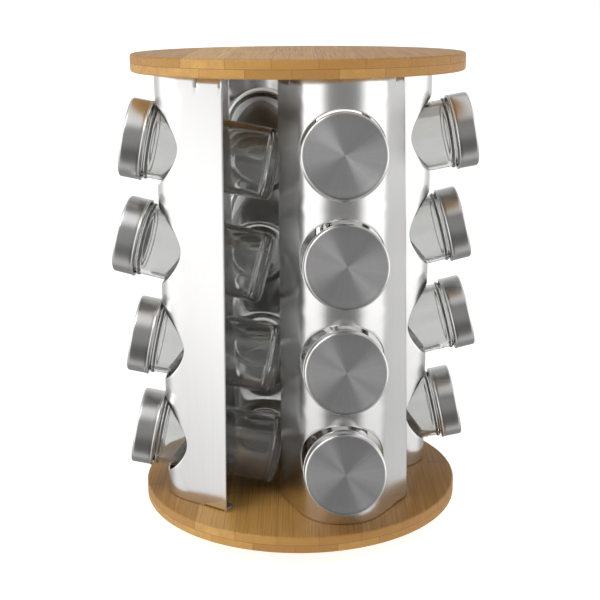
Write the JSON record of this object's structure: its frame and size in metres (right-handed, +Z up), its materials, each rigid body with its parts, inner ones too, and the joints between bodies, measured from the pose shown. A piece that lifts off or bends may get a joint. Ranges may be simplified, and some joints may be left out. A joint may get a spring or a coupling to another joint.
{
  "type": "spice carousel",
  "caption": "Revolving countertop spice rack: round wooden top and base joined by bent steel panels whose holes hold tilted glass jars with steel screw lids.",
  "frame": {"origin": "on the turning axis, in the plane of the feet's undersides", "axes": "+Z up along the turning axis; the front panel and its column of jars face -Y, +X is to the right seen from the front"},
  "size_m": [0.2304, 0.2188, 0.2938],
  "materials": {
    "bamboo": "satin lacquer",
    "brushed_steel": "vertically brushed",
    "lid_steel": "circular brushed face, polished skirt",
    "clear_glass": "clear pressed glass",
    "zinc_steel": "zinc plated",
    "dark_rubber": "matte"
  },
  "bodies": {
    "stand": {"turntable_lower_plate": "zinc_steel", "rubber_foot_1": "dark_rubber", "rubber_foot_2": "dark_rubber", "rubber_foot_3": "dark_rubber"},
    "ball_ring": {"ball_ring": "zinc_steel"},
    "carousel": {"turntable_upper_plate": "zinc_steel", "base_disc": "bamboo", "top_disc": "bamboo", "panel_front": "brushed_steel", "panel_right": "brushed_steel", "panel_back": "brushed_steel", "panel_left": "brushed_steel", "screw_front_upper_1": "zinc_steel", "screw_front_upper_2": "zinc_steel", "screw_front_lower_1": "zinc_steel", "screw_front_lower_2": "zinc_steel", "screw_right_upper_1": "zinc_steel", "screw_right_upper_2": "zinc_steel", "screw_right_lower_1": "zinc_steel", "screw_right_lower_2": "zinc_steel", "screw_back_upper_1": "zinc_steel", "screw_back_upper_2": "zinc_steel", "screw_back_lower_1": "zinc_steel", "screw_back_lower_2": "zinc_steel", "screw_left_upper_1": "zinc_steel", "screw_left_upper_2": "zinc_steel", "screw_left_lower_1": "zinc_steel", "screw_left_lower_2": "zinc_steel"},
    "jar_front_1": {"jar_front_1": "clear_glass"},
    "lid_front_1": {"lid_front_1": "lid_steel"},
    "jar_front_2": {"jar_front_2": "clear_glass"},
    "lid_front_2": {"lid_front_2": "lid_steel"},
    "jar_front_3": {"jar_front_3": "clear_glass"},
    "lid_front_3": {"lid_front_3": "lid_steel"},
    "jar_front_4": {"jar_front_4": "clear_glass"},
    "lid_front_4": {"lid_front_4": "lid_steel"},
    "jar_right_1": {"jar_right_1": "clear_glass"},
    "lid_right_1": {"lid_right_1": "lid_steel"},
    "jar_right_2": {"jar_right_2": "clear_glass"},
    "lid_right_2": {"lid_right_2": "lid_steel"},
    "jar_right_3": {"jar_right_3": "clear_glass"},
    "lid_right_3": {"lid_right_3": "lid_steel"},
    "jar_right_4": {"jar_right_4": "clear_glass"},
    "lid_right_4": {"lid_right_4": "lid_steel"},
    "jar_back_1": {"jar_back_1": "clear_glass"},
    "lid_back_1": {"lid_back_1": "lid_steel"},
    "jar_back_2": {"jar_back_2": "clear_glass"},
    "lid_back_2": {"lid_back_2": "lid_steel"},
    "jar_back_3": {"jar_back_3": "clear_glass"},
    "lid_back_3": {"lid_back_3": "lid_steel"},
    "jar_back_4": {"jar_back_4": "clear_glass"},
    "lid_back_4": {"lid_back_4": "lid_steel"},
    "jar_left_1": {"jar_left_1": "clear_glass"},
    "lid_left_1": {"lid_left_1": "lid_steel"},
    "jar_left_2": {"jar_left_2": "clear_glass"},
    "lid_left_2": {"lid_left_2": "lid_steel"},
    "jar_left_3": {"jar_left_3": "clear_glass"},
    "lid_left_3": {"lid_left_3": "lid_steel"},
    "jar_left_4": {"jar_left_4": "clear_glass"},
    "lid_left_4": {"lid_left_4": "lid_steel"}
  },
  "joints": [
    {"name": "carousel_spin", "type": "hinge", "parent": "stand", "child": "carousel", "pos_m": [0, 0, 0], "axis": [0, 0, 1], "continuous": true},
    {"name": "ball_ring_spin", "type": "hinge", "parent": "stand", "child": "ball_ring", "pos_m": [0, 0, 0], "axis": [0, 0, 1], "continuous": true},
    {"name": "jar_front_1_pull", "type": "slide", "parent": "carousel", "child": "jar_front_1", "axis": [-0.017, -0.9761, 0.2164], "range_m": [0, 0.085]},
    {"name": "lid_front_1_lift", "type": "slide", "parent": "jar_front_1", "child": "lid_front_1", "axis": [-0.017, -0.9761, 0.2164], "range_m": [0, 0.025]},
    {"name": "jar_front_2_pull", "type": "slide", "parent": "carousel", "child": "jar_front_2", "axis": [0.0426, -0.9754, 0.2164], "range_m": [0, 0.085]},
    {"name": "lid_front_2_lift", "type": "slide", "parent": "jar_front_2", "child": "lid_front_2", "axis": [0.0426, -0.9754, 0.2164], "range_m": [0, 0.025]},
    {"name": "jar_front_3_pull", "type": "slide", "parent": "carousel", "child": "jar_front_3", "axis": [0.0426, -0.9754, 0.2164], "range_m": [0, 0.085]},
    {"name": "lid_front_3_lift", "type": "slide", "parent": "jar_front_3", "child": "lid_front_3", "axis": [0.0426, -0.9754, 0.2164], "range_m": [0, 0.025]},
    {"name": "jar_front_4_pull", "type": "slide", "parent": "carousel", "child": "jar_front_4", "axis": [0.0342, -0.979, 0.2011], "range_m": [0, 0.085]},
    {"name": "lid_front_4_lift", "type": "slide", "parent": "jar_front_4", "child": "lid_front_4", "axis": [0.0342, -0.979, 0.2011], "range_m": [0, 0.025]},
    {"name": "jar_right_1_pull", "type": "slide", "parent": "carousel", "child": "jar_right_1", "axis": [0.9833, 0, 0.1822], "range_m": [-0.0084, 0.0766]},
    {"name": "lid_right_1_lift", "type": "slide", "parent": "jar_right_1", "child": "lid_right_1", "axis": [0.9833, 0, 0.1822], "range_m": [0, 0.025]},
    {"name": "jar_right_2_pull", "type": "slide", "parent": "carousel", "child": "jar_right_2", "axis": [0.9703, 0, 0.2419], "range_m": [-0.0044, 0.0806]},
    {"name": "lid_right_2_lift", "type": "slide", "parent": "jar_right_2", "child": "lid_right_2", "axis": [0.9703, 0, 0.2419], "range_m": [0, 0.025]},
    {"name": "jar_right_3_pull", "type": "slide", "parent": "carousel", "child": "jar_right_3", "axis": [0.9703, 0, 0.2419], "range_m": [-0.0089, 0.0761]},
    {"name": "lid_right_3_lift", "type": "slide", "parent": "jar_right_3", "child": "lid_right_3", "axis": [0.9703, 0, 0.2419], "range_m": [0, 0.025]},
    {"name": "jar_right_4_pull", "type": "slide", "parent": "carousel", "child": "jar_right_4", "axis": [0.9781, 0, 0.2079], "range_m": [-0.0012, 0.0828]},
    {"name": "lid_right_4_lift", "type": "slide", "parent": "jar_right_4", "child": "lid_right_4", "axis": [0.9781, 0, 0.2079], "range_m": [0, 0.025]},
    {"name": "jar_back_1_pull", "type": "slide", "parent": "carousel", "child": "jar_back_1", "axis": [-0.017, 0.9761, 0.2164], "range_m": [0, 0.085]},
    {"name": "lid_back_1_lift", "type": "slide", "parent": "jar_back_1", "child": "lid_back_1", "axis": [-0.017, 0.9761, 0.2164], "range_m": [0, 0.025]},
    {"name": "jar_back_2_pull", "type": "slide", "parent": "carousel", "child": "jar_back_2", "axis": [0.017, 0.9742, 0.225], "range_m": [-0.003, 0.082]},
    {"name": "lid_back_2_lift", "type": "slide", "parent": "jar_back_2", "child": "lid_back_2", "axis": [0.017, 0.9742, 0.225], "range_m": [0, 0.025]},
    {"name": "jar_back_3_pull", "type": "slide", "parent": "carousel", "child": "jar_back_3", "axis": [0, 0.9781, 0.2079], "range_m": [0, 0.085]},
    {"name": "lid_back_3_lift", "type": "slide", "parent": "jar_back_3", "child": "lid_back_3", "axis": [0, 0.9781, 0.2079], "range_m": [0, 0.025]},
    {"name": "jar_back_4_pull", "type": "slide", "parent": "carousel", "child": "jar_back_4", "axis": [-0.0171, 0.9794, 0.2011], "range_m": [0, 0.085]},
    {"name": "lid_back_4_lift", "type": "slide", "parent": "jar_back_4", "child": "lid_back_4", "axis": [-0.0171, 0.9794, 0.2011], "range_m": [0, 0.025]},
    {"name": "jar_left_1_pull", "type": "slide", "parent": "carousel", "child": "jar_left_1", "axis": [-0.9799, 0, 0.1994], "range_m": [0, 0.085]},
    {"name": "lid_left_1_lift", "type": "slide", "parent": "jar_left_1", "child": "lid_left_1", "axis": [-0.9799, 0, 0.1994], "range_m": [0, 0.025]},
    {"name": "jar_left_2_pull", "type": "slide", "parent": "carousel", "child": "jar_left_2", "axis": [-0.9679, 0.0677, 0.2419], "range_m": [-0.0038, 0.0797]},
    {"name": "lid_left_2_lift", "type": "slide", "parent": "jar_left_2", "child": "lid_left_2", "axis": [-0.9679, 0.0677, 0.2419], "range_m": [0, 0.025]},
    {"name": "jar_left_3_pull", "type": "slide", "parent": "carousel", "child": "jar_left_3", "axis": [-0.9789, 0, 0.2045], "range_m": [0, 0.085]},
    {"name": "lid_left_3_lift", "type": "slide", "parent": "jar_left_3", "child": "lid_left_3", "axis": [-0.9789, 0, 0.2045], "range_m": [0, 0.025]},
    {"name": "jar_left_4_pull", "type": "slide", "parent": "carousel", "child": "jar_left_4", "axis": [-0.9796, 0, 0.2011], "range_m": [0, 0.085]},
    {"name": "lid_left_4_lift", "type": "slide", "parent": "jar_left_4", "child": "lid_left_4", "axis": [-0.9796, 0, 0.2011], "range_m": [0, 0.025]}
  ],
  "couplings": [
    {"joint": "ball_ring_spin", "follows": "carousel_spin", "ratio": 0.5}
  ]
}
